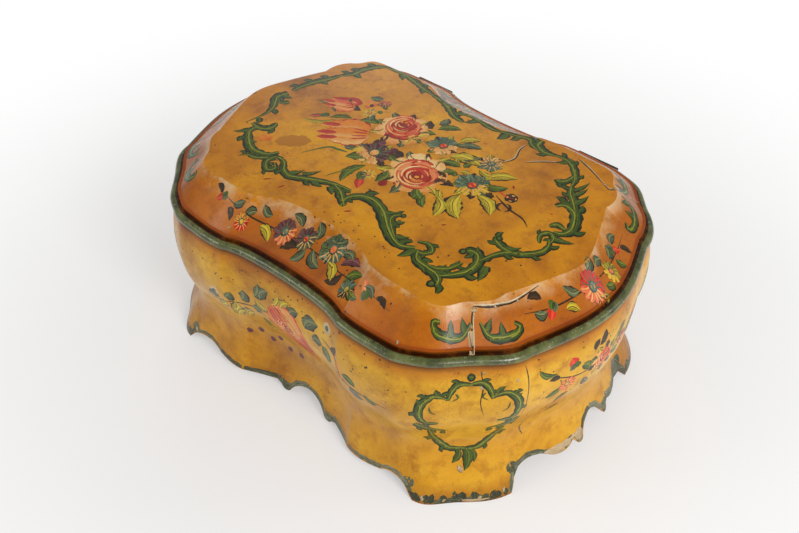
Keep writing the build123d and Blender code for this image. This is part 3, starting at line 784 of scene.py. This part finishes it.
# %% Lid garland
garland = Painting()
long_scrolls = [
    ([(-138, 13), (-141, 3), (-132, -10), (-129, -22), (-132, -39)], 6.5, TAIL),
    ([(-112, -24), (-111, -32), (-117, -37), (-127, -36)], 6.5, SCROLL),
    ([(-120, -36), (-121, -45), (-113, -54), (-102, -61), (-92, -61), (-85, -58), (-81, -51)], 7.0, SCROLL),
    ([(-83, -60), (-90, -66), (-98, -68), (-102, -74)], 5.0, TAIL),
    ([(-73, -54), (-80, -57), (-80, -66), (-72, -72), (-68, -67), (-74, -62)], 4.6, SCROLL),
    ([(-78, -56), (-70, -57), (-63, -64), (-54, -67), (-43, -62), (-31, -56), (-20, -52), (-7, -50)], 6.0,
     SCROLL),
    ([(-21, -53), (-13, -56), (-6, -61), (1, -66)], 6.4, SCROLL),
    ([(0, -67), (-3, -58), (3, -50), (14, -48), (26, -53), (39, -63), (51, -70), (60, -71), (68, -66)],
     8.0, SCROLL),
    ([(51, -67), (42, -60), (36, -54), (36, -49), (40, -46)], 4.4, SCROLL),
    ([(65, -60), (72, -57), (78, -61), (75, -66), (70, -67)], 4.6, SCROLL),
    ([(70, -66), (75, -74), (86, -76), (95, -77), (100, -82), (98, -87)], 7.0, SCROLL),
    ([(97, -77), (104, -69), (109, -60), (109, -50), (104, -42), (97, -42), (94, -48)], 7.0, SCROLL),
    ([(84, -73), (92, -72), (98, -66), (101, -56)], 4.2, SCROLL),
    ([(108, -48), (112, -36), (118, -27), (126, -22), (133, -13), (134, -4), (130, 3)], 5.6, SCROLL),
    ([(126, -22), (117, -25), (108, -24), (103, -21), (106, -18)], 5.6, SCROLL),
    ([(127, -5), (123, 2), (126, 8), (131, 5), (132, -2)], 4.4, SCROLL),
    ([(122, 14), (125, 19), (132, 18)], 5.0, SCROLL),
    ([(127, 11), (133, 13), (136, 20), (133, 30), (127, 39), (120, 42), (115, 41), (112, 36)], 7.4, SCROLL),
    ([(128, 38), (120, 48), (112, 56), (108, 63)], 6.0, SCROLL),
    ([(108, 62), (105, 72), (96, 83), (87, 88), (77, 87)], 5.2, SCROLL),
    ([(94, 62), (98, 61), (102, 66), (102, 74)], 5.4, SCROLL),
    ([(78, 87), (68, 85), (60, 89), (59, 96)], 6.4, SCROLL),
    ([(63, 83), (56, 86), (50, 91), (40, 88), (28, 84)], 5.0, SCROLL),
    ([(30, 84), (20, 82), (8, 84), (-4, 85), (-12, 81)], 4.6, SCROLL),
    ([(-2, 74), (-12, 76), (-24, 83), (-34, 87), (-46, 89)], 6.8, SCROLL),
    ([(-44, 89), (-58, 92), (-72, 96), (-88, 99), (-104, 98)], 6.0, SCROLL),
    ([(-104, 99), (-112, 92), (-117, 82), (-119, 70), (-125, 62)], 6.4, SCROLL),
    ([(-124, 64), (-128, 52), (-133, 42), (-137, 30), (-138, 18)], 6.4, SCROLL),
    ([(-127, 4), (-131, -1), (-136, 1)], 4.4, TAIL),
]
for path, width, press in long_scrolls:
    scroll(garland, lid_ground, path, width * 1.3, press)

small_leaves = [
    ((-56, -64), (-50, -54), 4.6), ((-48, -59), (-40, -47), 4.2), ((-36, -60), (-26, -60), 4.6),
    ((-22, -56), (-14, -62), 4.4), ((68, -67), (64, -80), 6.6), ((73, -71), (88, -80), 5.0),
    ((41, -54), (45, -50), 4.4), ((50, -66), (58, -60), 4.4), ((92, -71), (94, -64), 3.8),
    ((98, -64), (98, -55), 4.0), ((114, -48), (119, -63), 6.2), ((114, -25), (121, -17), 4.2),
    ((130, 5), (145, 11), 5.2), ((115, 55), (118, 69), 4.0), ((112, 60), (115, 76), 3.6),
    ((121, 48), (123, 62), 4.8), ((124, 40), (112, 44), 4.0), ((86, 88), (94, 91), 4.4),
    ((88, 86), (82, 80), 4.0), ((33, 84), (31, 73), 6.4), ((42, 87), (39, 79), 4.6),
    ((4, 83), (-2, 74), 4.6), ((-14, 79), (-8, 92), 5.0), ((-60, 93), (-54, 84), 5.4),
    ((-88, 99), (-80, 90), 5.0), ((-118, 72), (-108, 70), 5.0), ((-131, 46), (-122, 44), 5.0),
    ((-139, 8), (-129, 10), 4.8), ((-114, -55), (-104, -52), 4.6), ((-122, -44), (-130, -54), 4.4),
    ((-86, -60), (-82, -50), 4.4), ((3, -50), (12, -43), 4.0), ((26, -53), (36, -44), 4.0),
    ((104, -42), (98, -36), 4.4),
]
for base, tip, width in small_leaves:
    painted = [Vector(base), Vector(base).lerp(Vector(tip), 0.5) + Vector((0.8, -0.8)), Vector(tip)]
    garland.stroke(lid_ground, painted, width * 1.35, TAIL, DARK, over=1)
    garland.stroke(lid_ground, painted, width * 0.8, TAIL, GREEN, tone=0.1, beside=0.06, over=2)
for centre, radius in (((98, -85), 3.4), ((-75, -65), 2.4), ((40, -46), 2.2), ((104, -20), 2.4),
                       ((94, -47), 3.0)):
    disc(garland, lid_ground, centre, radius, DARK, over=3)
    disc(garland, lid_ground, centre, radius * 0.5, GREEN, tone=0.2, over=4)
garland.dry("lid_garland", "lid")

# %% [markdown]
# In the middle of the lid lies a loose bunch: two roses, two tulips, three rayed daisies, a purple
# flower, buds and many pointed leaves. Leaves went on first and flowers over them, and so they do
# here. Each flower is laid in the order a decorator lays it: ground colour, outer petals, inner
# petals, then the thin lights.

# %% Lid bouquet
bouquet = Painting()
g = lid_ground
lid_leaves = [
    ((-88, 17), (-112, 21), 4.5, LEAF_BLUE), ((-74, 32), (-92, 40), 8, UMBER),
    ((-80, 10), (-102, -6), 4, LEAF_YELLOW), ((-71, 19), (-86, 8), 4.5, LEAF_GREEN),
    ((-72, 58), (-82, 53), 7, LEAF_BLUE), ((-50, 27), (-65, 21), 7, LEAF_GREEN),
    ((-26, -14), (-39, -22), 9, LEAF_GREEN), ((-20, -20), (-21, -47), 7, LEAF_GREEN),
    ((-26, -24), (-30, -36), 5, LEAF_GREEN), ((-4, -14), (-2, -30), 9, LEAF_GREEN),
    ((-6, 6), (-17, 2), 8, UMBER), ((-14, 58), (-14, 70), 7, LEAF_BLUE),
    ((-10, 52), (4, 64), 7, LEAF_GREEN), ((-14, 50), (-22, 58), 7, UMBER),
    ((14, 50), (24, 62), 7, LEAF_YELLOW), ((16, 44), (32, 54), 7, LEAF_BLUE),
    ((20, 30), (44, 36), 12, LEAF_YELLOW), ((20, 20), (34, 25), 7, LEAF_GREEN),
    ((58, 26), (74, 42), 9, LEAF_YELLOW), ((60, 20), (75, 29), 7, LEAF_GREEN),
    ((44, -14), (55, -32), 9, LEAF_YELLOW), ((26, -16), (38, -24), 9, LEAF_GREEN),
    ((36, -18), (44, -30), 6, LEAF_GREEN), ((40, -6), (48, -14), 6, LEAF_YELLOW),
    ((54, -1), (70, -23), 13, LEAF_YELLOW), ((64, 7), (84, -5), 10, LEAF_YELLOW),
    ((66, 14), (74, 14), 7, UMBER), ((46, 32), (62, 33), 5, LEAF_YELLOW), ((36, 6), (30, -8), 6, UMBER),
    ((-40, -6), (-50, -12), 6, LEAF_BLUE), ((30, 34), (38, 46), 7, LEAF_BLUE),
    ((22, 6), (34, 8), 7, UMBER), ((-56, 26), (-62, 36), 6, LEAF_BLUE),
]
spray(bouquet, g, lid_leaves, 1.15, 0.16)
leaf_rings = (((-31, 34), 18, 9, 0.2), ((14, -2), 20, 11, 0.5), ((-26, -4), 12, 7, 0.1),
              ((7, 38), 10, 7, 0.6), ((48, 44), 8, 6, 0.9), ((54, 14), 11, 8, 0.3), ((32, 22), 8, 6, 0.8),
              ((-66, 44), 6, 5, 0.4))
for centre, reach, count, start in leaf_rings:
    for i in range(count):
        way = start + i * math.tau / count
        paint = (LEAF_GREEN, LEAF_YELLOW, UMBER, LEAF_BLUE)[i % 4]
        tip = turned(centre, way + 0.25, reach * chance.uniform(1.3, 1.6))
        leaf(bouquet, g, turned(centre, way, reach * 0.75), tip, reach * 0.2 + 4, paint, over=-1)
stem(bouquet, g, [(-42, -17), (-50, -19), (-58, -22), (-68, -40)], 2.4, LEAF_GREEN)
stem(bouquet, g, [(-22, -22), (-30, -40), (-34, -50)], 1.4, LEAF_GREEN)
stem(bouquet, g, [(74, 16), (90, 10), (103, 8), (111, 3)], 1.8)
stem(bouquet, g, [(70, 22), (80, 20), (86, 22)], 1.2, VERMILION)
ring(bouquet, g, (86, 9), 5, 2, 2.8, 2.2, UMBER, 0.6)
disc(bouquet, g, (84, 21), 5, UMBER)
ring(bouquet, g, (84, 21), 3.2, 4, 0.8, 1.2, CREAM, 0.3, 0.0, 1)

daisy(bouquet, g, (-26, -4), 14, CREAM, PURPLE, CREAM, 15, -1.9)
ring(bouquet, g, (-24, 2), 9, 4, 0.7, 6, PURPLE, 0.6, -0.1, 2)
disc(bouquet, g, (-39, -9), 3.4, YELLOW, over=2)
daisy(bouquet, g, (7, 38), 12, CREAM, SLATE)
daisy(bouquet, g, (48, 44), 9.5, SLATE, CREAM, SLATE, 11, -0.86)
daisy(bouquet, g, (54, 14), 13.5, YELLOW, SLATE)
daisy(bouquet, g, (-66, 52), 6, PURPLE, CORAL, CORAL, 9)
ring(bouquet, g, (-74, 44), 4, 3, 1.5, 3.4, CORAL, 0.6, 0.0, 1)
daisy(bouquet, g, (-66, 34), 6, YELLOW, YELLOW, ORANGE, 9)
daisy(bouquet, g, (-11, -27), 6, YELLOW, YELLOW, ORANGE, 9)
leaf(bouquet, g, (-16, 20), (-10, 42), 9, YELLOW, tone=0.1)
bud(bouquet, g, (-14, -31), (-6, -45), 7, RED)
bud(bouquet, g, (-91, 9), (-100, 0), 5, PURPLE, RED)


def tulip(painting, ground, base, tips, width, side_paint, heart_paint, tip_paint, low_paint):
    """A cup of three broad petals: one at each side, the middle one over both, and their pointed tips."""
    base, heart = Vector(base), Vector(tips[1])
    petals = ((tips[0], 0.6, side_paint, 0), (tips[2], 0.6, low_paint, 1), (tips[1], 0.62, heart_paint, 2))
    for tip, share, paint, over in petals:
        side = (Vector(tip) - heart) * 0.9
        path = [base, base.lerp(heart, 0.25) + side, base.lerp(heart, 0.6) + side, Vector(tip)]
        painting.stroke(ground, path, width * share * 1.14, LEAF, tip_paint, over=over)
        painting.stroke(ground, path, width * share, LEAF, paint, over=over + 1)
        painting.stroke(ground, path, width * share * 0.3, LEAF, CREAM, tone=-0.1, beside=0.5,
                        over=over + 2)
        painting.stroke(ground, [path[2], path[3]], width * 0.2, LEAF, tip_paint, over=over + 3)
    for share in (-0.28, -0.1, 0.1, 0.26):
        side = (heart - base).normalized()
        side = Vector((-side.y, side.x)) * width * share
        painting.stroke(ground, [base + side * 0.6, base.lerp(heart, 0.3) + side], width * 0.06, LINE,
                        tip_paint, over=6)


tulip(bouquet, g, (-46, 10), [(-85, -1), (-80, -12), (-75, -17)], 27, ORANGE, ORANGE, RED, CREAM)
tulip(bouquet, g, (-82, 34), [(-105, 32), (-109, 24), (-104, 20)], 17, RED, CORAL, RED, CORAL)
rose(bouquet, g, (-31, 34), 20, (-37, 43))
rose(bouquet, g, (14, -2), 22.5, (19, -8), cool=0.06)
disc(bouquet, g, (4, -28), 3.4, RED, tone=-0.3, over=3)
bouquet.dry("lid_bouquet", "lid")

# %% [markdown]
# The sloping borders carry a spray of flowers on each side and a pair of facing scrolls at each
# corner. The photo shows the front, the right end and the near corner. The sides that it hides get
# the same sprays, turned half round, as a decorator would repeat them. The near corner's pair is
# opened by the crack along its mitre.

# %% Sprays and scrolls on the lid's slopes
def turned_ground(skin, sx, sy):
    """The lid's drawing board, turned half round or mirrored for the other sides."""
    board = Ground(skin, (0, 0, 169), Z, (0, sy, 0), 40)
    board.right = Vector((sx, 0, 0))
    return board


slopes = Painting()
for sx, sy in ((1, 1), (-1, -1)):
    g = turned_ground(lid_skin, sx, sy)
    slope_leaves = [
        ((-68, -109), (-60, -104), 6, LEAF_BLUE), ((-70, -113), (-63, -119), 5, UMBER),
        ((-48, -104), (-54, -112), 6, LEAF_BLUE), ((-40, -110), (-28, -115), 8, LEAF_YELLOW),
        ((-36, -100), (-46, -98), 6, LEAF_BLUE), ((-10, -96), (-22, -92), 6, LEAF_BLUE),
        ((-4, -108), (-16, -114), 7, UMBER), ((2, -106), (-4, -116), 7, LEAF_BLUE),
        ((6, -98), (0, -88), 7, LEAF_BLUE), ((8, -104), (20, -112), 8, LEAF_BLUE),
        ((14, -100), (26, -104), 8, LEAF_GREEN), ((16, -94), (28, -90), 7, LEAF_BLUE),
        ((24, -106), (34, -116), 8, LEAF_YELLOW), ((30, -98), (42, -100), 7, LEAF_BLUE),
        ((34, -104), (50, -101), 6, PURPLE), ((40, -108), (30, -116), 6, UMBER),
        ((44, -112), (56, -106), 7, LEAF_GREEN), ((52, -114), (62, -118), 6, LEAF_GREEN),
        ((62, -110), (72, -114), 5, LEAF_BLUE), ((74, -112), (84, -115), 4, UMBER),
        ((-82, -108), (-90, -104), 4, UMBER),
    ]
    spray(slopes, g, slope_leaves)
    stem(slopes, g, [(-86, -106), (-60, -110), (-30, -106), (0, -104), (36, -108), (70, -112),
                     (88, -114)], 1.0)
    bud(slopes, g, (-78, -108), (-84, -112), 5, RED)
    daisy(slopes, g, (-54, -115), 6, VERMILION, ORANGE, YELLOW, 11)
    daisy(slopes, g, (-20, -104), 9, CORAL, PURPLE, SLATE, 13)
    daisy(slopes, g, (-2, -101), 8, LEAF_BLUE, PURPLE, RED, 12)
    daisy(slopes, g, (22, -98), 10, SLATE, LEAF_BLUE, CORAL, 14)
    daisy(slopes, g, (50, -115), 6.5, DARK, SLATE, LEAF_YELLOW, 9)
    bud(slopes, g, (66, -114), (60, -106), 5, CORAL)

    end_leaves = [
        ((158, -52), (163, -44), 6, LEAF_BLUE), ((170, -32), (176, -24), 6, LEAF_YELLOW),
        ((168, -16), (160, -24), 6, LEAF_BLUE), ((164, -2), (158, 6), 8, LEAF_BLUE),
        ((166, 8), (164, 16), 7, LEAF_BLUE), ((178, -4), (181, 4), 6, LEAF_YELLOW),
        ((176, 6), (178, 14), 6, LEAF_GREEN), ((166, 24), (158, 30), 6, LEAF_BLUE),
        ((168, 30), (174, 36), 6, LEAF_GREEN), ((160, 36), (156, 46), 6, LEAF_BLUE),
        ((164, 42), (170, 50), 5, UMBER), ((156, -42), (150, -50), 5, UMBER),
    ]
    spray(slopes, g, end_leaves)
    stem(slopes, g, [(154, -58), (164, -38), (170, -12), (170, 14), (164, 38), (158, 54)], 1.0)
    bud(slopes, g, (163, -38), (167, -46), 6, VERMILION)
    daisy(slopes, g, (172, -5), 10, CORAL, VERMILION, SLATE, 13)
    daisy(slopes, g, (172, 18), 7, YELLOW, LEAF_YELLOW, CORAL, 10)
    bud(slopes, g, (162, 32), (165, 40), 6, VERMILION)
slopes.dry("slope_flower_sprays", "lid")

small_lobes = (((129, -102), (124, -96)), ((134, -94), (128, -90)), ((153, -78), (147, -74)),
               ((144, -84), (142, -77)))
corner_scrolls = Painting()
for sx, sy in ((1, 1), (1, -1), (-1, 1), (-1, -1)):
    g = turned_ground(lid_skin, sx, sy)
    scroll(corner_scrolls, g, [(134, -88), (134, -97), (129, -103), (122, -107), (117, -105),
                               (120, -102)], 5.6, lobed=False)
    scroll(corner_scrolls, g, [(138, -84), (147, -85), (154, -79), (158, -71), (157, -65), (153, -67)],
           5.6, lobed=False)
    for base, tip in small_lobes:
        corner_scrolls.stroke(g, [base, tip], 5.0, TAIL, DARK, over=1)
        corner_scrolls.stroke(g, [base, tip], 3.0, TAIL, GREEN, tone=0.1, over=2)
corner_scrolls.dry("slope_corner_scrolls", "lid")

# %% [markdown]
# The belly of the case has a long spray across the front, hanging from left to right round one big
# tulip, and a shorter one on each end. They are drawn on upright boards held against each side. At
# the four corners a cartouche of green scrolls frames a bare patch, drawn on a board that faces out
# from the corner.

# %% Sprays on the case
belly = Painting()
for g in (front_ground, back_ground):
    body_leaves = [
        ((-66, 86), (-78, 84), 7, LEAF_BLUE), ((-60, 90), (-54, 98), 8, LEAF_BLUE),
        ((-62, 86), (-68, 78), 7, LEAF_YELLOW), ((-52, 88), (-58, 76), 8, LEAF_YELLOW),
        ((-44, 94), (-42, 106), 9, LEAF_BLUE), ((-30, 106), (-26, 120), 9, LEAF_BLUE),
        ((-24, 106), (-16, 118), 9, LEAF_BLUE), ((-30, 102), (-18, 98), 7, LEAF_YELLOW),
        ((-12, 108), (-5, 120), 8, LEAF_YELLOW), ((-2, 108), (5, 119), 8, LEAF_YELLOW),
        ((6, 108), (15, 117), 8, LEAF_BLUE), ((-46, 80), (-56, 68), 8, LEAF_YELLOW),
        ((-34, 92), (-26, 90), 8, LEAF_BLUE), ((-36, 84), (-46, 72), 8, LEAF_YELLOW),
        ((-26, 84), (-20, 78), 7, LEAF_GREEN), ((-16, 76), (-26, 66), 7, LEAF_YELLOW),
        ((22, 108), (36, 119), 11, LEAF_BLUE), ((30, 102), (40, 104), 9, LEAF_BLUE),
        ((40, 104), (46, 92), 9, LEAF_GREEN), ((64, 96), (76, 92), 7, LEAF_GREEN),
        ((70, 88), (82, 82), 7, LEAF_BLUE), ((84, 90), (94, 86), 5, LEAF_GREEN),
        ((50, 110), (58, 118), 5, UMBER), ((30, 70), (38, 62), 6, LEAF_YELLOW),
    ]
    spray(belly, g, body_leaves, 1.2)
    stem(belly, g, [(-76, 80), (-50, 88), (-24, 96), (0, 104)], 1.2)
    stem(belly, g, [(40, 112), (56, 108), (62, 92), (76, 88), (92, 88), (107, 90)], 1.5)
    stem(belly, g, [(58, 116), (60, 100), (64, 88)], 1.6, CORAL)
    tulip(belly, g, (-14, 106), [(18, 60), (25, 66), (30, 76)], 27, ORANGE, CORAL, RED, CORAL)
    rose(belly, g, (-2, 90), 12, (2, 92))
    tulip(belly, g, (-8, 108), [(10, 70), (20, 74), (26, 84)], 16, ORANGE, YELLOW, VERMILION, CORAL)
    for x, z in ((-54, 47), (-34, 46), (-17, 45), (-5, 46), (-44, 52), (-26, 52)):
        disc(belly, g, (x, z), 2.6, PURPLE, tone=-0.1)
    for x, z in ((46, 125), (-70, 92)):
        disc(belly, g, (x, z), 4.2, GESSO)
        disc(belly, g, (x, z), 2.0, LEAF_BLUE, over=1)

for g in (right_ground, left_ground):
    end_leaves = [
        ((-30, 108), (-22, 100), 8, LEAF_GREEN), ((-14, 118), (-8, 128), 7, UMBER),
        ((-18, 116), (-14, 124), 6, UMBER), ((-2, 106), (8, 116), 7, LEAF_YELLOW),
        ((-50, 112), (-64, 122), 5, LEAF_GREEN), ((-48, 106), (-56, 108), 6, UMBER),
        ((-46, 96), (-56, 90), 7, LEAF_GREEN), ((-36, 84), (-44, 76), 5, LEAF_GREEN),
        ((-38, 70), (-46, 64), 6, LEAF_GREEN), ((-24, 92), (-18, 84), 7, LEAF_BLUE),
        ((2, 98), (12, 94), 7, LEAF_GREEN), ((10, 108), (20, 118), 6, LEAF_BLUE),
        ((20, 104), (30, 112), 6, LEAF_GREEN), ((28, 100), (40, 98), 6, LEAF_YELLOW),
        ((38, 104), (48, 112), 5, UMBER),
    ]
    spray(belly, g, end_leaves)
    stem(belly, g, [(-62, 118), (-46, 106), (-28, 100), (-6, 104), (18, 104), (44, 106)], 1.2)
    stem(belly, g, [(-44, 100), (-38, 84), (-44, 68), (-54, 60)], 1.2, CORAL)
    for i in range(9):
        way = 0.3 + i * math.tau / 9
        paint = (LEAF_GREEN, UMBER, LEAF_YELLOW)[i % 3]
        leaf(belly, g, turned((-8, 102), way, 8), turned((-8, 102), way + 0.3, 15), 6, paint)
    rose(belly, g, (-8, 102), 11, (-6, 105))
    daisy(belly, g, (-40, 96), 7, CORAL, CORAL, YELLOW, 11)
    daisy(belly, g, (16, 104), 7, CORAL, RED, YELLOW, 11)
    bud(belly, g, (-36, 112), (-39, 121), 8, VERMILION)
    bud(belly, g, (34, 108), (38, 116), 6, VERMILION)
belly.dry("belly_flower_sprays", "case")

cartouches = Painting()
for g in corner_grounds:
    for side in (-1, 1):
        def flip(*path):
            return [(side * s, z) for s, z in path]
        scroll(cartouches, g, flip((-1, 121), (8, 122), (13, 116), (15, 108)), 5.8)
        scroll(cartouches, g, flip((14, 109), (24, 113), (32, 105), (34, 93), (30, 84), (20, 83)), 6.8)
        scroll(cartouches, g, flip((36, 80), (30, 76), (20, 73), (12, 70)), 6.4, TAIL)
        scroll(cartouches, g, flip((26, 73), (21, 58), (11, 44), (-1, 42)), 6.2)
        leaf(cartouches, g, *flip((18, 112), (23, 119)), 4.5, GREEN)
        leaf(cartouches, g, *flip((30, 104), (35, 109)), 4.0, GREEN)
        leaf(cartouches, g, *flip((22, 62), (29, 58)), 4.6, GREEN)
        cartouches.stroke(g, flip((27, 103), (26, 97), (22, 94)), 1.4, LINE, GREEN)
        cartouches.stroke(g, flip((10, 114), (8, 110), (12, 107)), 1.6, LINE, GREEN)
        leaf(cartouches, g, *flip((3, 42), (8, 30)), 5.5, GREEN)
    disc(cartouches, g, (0, 127), 3.0, DARK, over=2)
    disc(cartouches, g, (0, 127), 1.5, GREEN, tone=0.1, over=3)
    leaf(cartouches, g, (0, 44), (1, 24), 8, GREEN)
cartouches.dry("corner_cartouches", "case")

# %% [markdown]
# Below, a grey-green band follows the sawn edge of the base, dark on the feet. The lower edge is made
# of the same arcs as the board's: a middle arch, two pendants, long lobes, a hollow and the foot.
# Each run is one stroke, set on the edge. A mark that falls past the edge lands on the nearest point
# of the board.

# %% Band along the scalloped base
front_edge = dict(arch=(0, 17.5), arch_side=(11, 14), pendant_in=(18.5, 6), pendant=(23.5, 2.8),
                  pendant_out=(28, 6), notch=(29.5, 9.5), lobe=(60, 5.5), lobe_end=(88, 9.5), hollow=13.5,
                  foot_top=(117, 8), foot=(124, 0))
end_edge = dict(arch=(0, 25), arch_side=(8, 21), pendant_in=(14.5, 13), pendant=(19, 9.5),
                pendant_out=(23, 13), notch=(24.5, 16), lobe=(37, 11.5), lobe_end=(48, 14.5), hollow=19.5,
                foot_top=(70, 13), foot=(77, 0))
apron = Painting()
for g, edge, shift in ((front_ground, front_edge, 5), (back_ground, front_edge, 5),
                       (right_ground, end_edge, 8), (left_ground, end_edge, 8)):
    for side in (-1, 1):
        at = {name: Vector((side * spot[0] + shift, spot[1])) for name,
              spot in edge.items() if name != "hollow"}
        at["foot_top"].x -= shift
        at["foot"].x -= shift
        hollow = Vector(((at["lobe_end"].x + at["foot_top"].x) / 2, edge["hollow"]))
        runs = [[at["arch"], at["arch_side"], at["pendant_in"]],
                [at["pendant_in"], at["pendant"], at["pendant_out"]], [at["pendant_out"], at["notch"]],
                [at["notch"], at["lobe"], at["lobe_end"]], [at["lobe_end"], hollow, at["foot_top"]],
                [at["foot_top"], at["foot"]]]
        for run in runs:
            raised = [spot + Vector((0, 1.4)) for spot in run]
            apron.stroke(g, raised, 5.6 + chance.uniform(-0.7, 1.2), BAND, APRON,
                         tone=chance.uniform(-0.25, 0.05))
        for middle, width in ((at["pendant"], 8), (at["foot_top"], 9)):
            rise = middle + Vector((0, 5))
            apron.stroke(g, [rise - Vector((5, 1)), rise, rise + Vector((5, -1))], width, DAB, APRON,
                         tone=chance.uniform(-0.3, -0.1), over=-0.5)
for g in corner_grounds:
    apron.stroke(g, [(-46, 2), (-22, 1.6), (0, 1.6), (22, 1.6), (46, 2)], 5.4, BAND, APRON, tone=-0.3)
    for i in range(16):
        foot = -38 + 5 * i + chance.uniform(-2, 2)
        path = [(foot, 1), (foot + chance.uniform(-1, 1), 4),
                (foot + chance.uniform(-2, 2), chance.uniform(5, 10))]
        apron.stroke(g, path, chance.uniform(4, 8), DAB, APRON, tone=chance.uniform(-0.5, -0.2), over=0.5)
apron.stroke(right_ground, [(-44, 16), (-30, 14), (-16, 14), (-6, 18)], 9, PETAL, GESSO, tone=-0.15, over=1)
apron.dry("apron_edge_band", "case")

# %% [markdown]
# Age is the last layer. The lid has moved along its joints, so the paint has split over the mitres at
# the near and the right corner, and along the seam between the panel and the end border. Gesso shows
# white along the splits, at knocks on the feet, and where the edge of the lid has been rubbed. Each
# split is a thin dark stroke with a broken pale one beside it, and each chip is a small dab of bare
# gesso with a dark rim.

# %% Splits, chips and stains
lid_age = Painting()
g = lid_ground
splits = [
    [(130, -81), (134, -87), (140, -93), (147, -101)], [(130, -81), (139, -72), (146, -57), (150, -38)],
    [(124, 81), (131, 80), (137, 95), (147, 106)], [(92, 95), (106, 90), (124, 81)],
    [(54, 52), (57, 62), (53, 74), (53, 82)], [(66, 64), (78, 76), (90, 84)],
]
for path in splits:
    lid_age.stroke(g, path, 1.3, LINE, CRACK)
    lid_age.stroke(g, path, 0.9, LINE, GESSO, beside=0.9, tone=chance.uniform(-0.1, 0.1))
lid_chips = ((131, -82, 2.6), (135, -89, 1.8), (139, -93, 2.2), (144, -99, 2.4), (140, -71, 1.6),
             (147, -56, 1.4), (124, 82, 1.8), (132, 82, 2.2), (139, 97, 1.8), (-60, -122, 1.5),
             (60, -127, 1.6), (104, -125, 1.8))
for x, y, size in lid_chips:
    chip(lid_age, g, (x, y), size)
lid_age.stroke(g, [(-95, -43), (-84, -33), (-73, -24)], 15, DAB, STAIN)
lid_age.stroke(g, [(-108, -48), (-99, -40)], 9, DAB, ORANGE, tone=-0.1)
red_dashes = ([(-66, -82), (-61, -77)], [(-50, -82), (-48, -76)], [(5, -70), (9, -66)],
              [(76, 34), (79, 31)], [(66, -36), (68, -33)])
for path in red_dashes:
    lid_age.stroke(g, path, 1.5, LEAF, RED, tone=-0.3)
for i in range(70):
    spot = (chance.uniform(-150, 155), chance.uniform(-95, 90))
    disc(lid_age, g, spot, chance.uniform(0.35, 0.9), CRACK if i % 3 else RED,
         tone=chance.uniform(-0.1, 0.4))
for i in range(40):
    spot = (chance.gauss(30, 18), chance.gauss(-88, 12))
    disc(lid_age, g, spot, chance.uniform(0.3, 0.7), CRACK)
lid_age.dry("lid_splits_and_chips", "lid")

case_age = Painting()
near = corner_grounds[0]
case_age.stroke(near, [(6, 132), (8, 118), (7, 104), (10, 90)], 1.0, LINE, CRACK)
case_chips = ((near, 7, 118, 2.4), (near, 8, 130, 1.8), (near, -2, 25, 4.0), (near, -30, 5, 3.0),
              (near, 12, 4, 2.6), (near, 30, 6, 2.4), (near, -14, 3, 2.2), (right_ground, -80, 122, 2.0),
              (right_ground, -58, 46, 1.6), (front_ground, -116, 12, 3.0), (front_ground, 92, 60, 1.4),
              (front_ground, 30, 40, 1.2))
for g, x, z, size in case_chips:
    chip(case_age, g, (x, z), size)
for path in ([(-56, 40), (-60, 52), (-58, 64)], [(-74, 132), (-72, 112), (-71, 80)]):
    case_age.stroke(right_ground, path, 0.9, LINE, CRACK)
case_age.stroke(near, [(-4, 2), (8, 1.6), (20, 2.4)], 2.6, LEAF, GESSO, over=1, tone=-0.2)
for g, reach, low, high in ((front_ground, 120, 108, 134), (right_ground, 75, 60, 132),
                            (back_ground, 120, 60, 132), (left_ground, 75, 60, 132)):
    for i in range(70):
        spot = (chance.uniform(-reach, reach), chance.uniform(low, high))
        disc(case_age, g, spot, chance.uniform(0.3, 0.8), CRACK, tone=chance.uniform(-0.1, 0.3))
case_age.dry("case_splits_and_chips", "case")
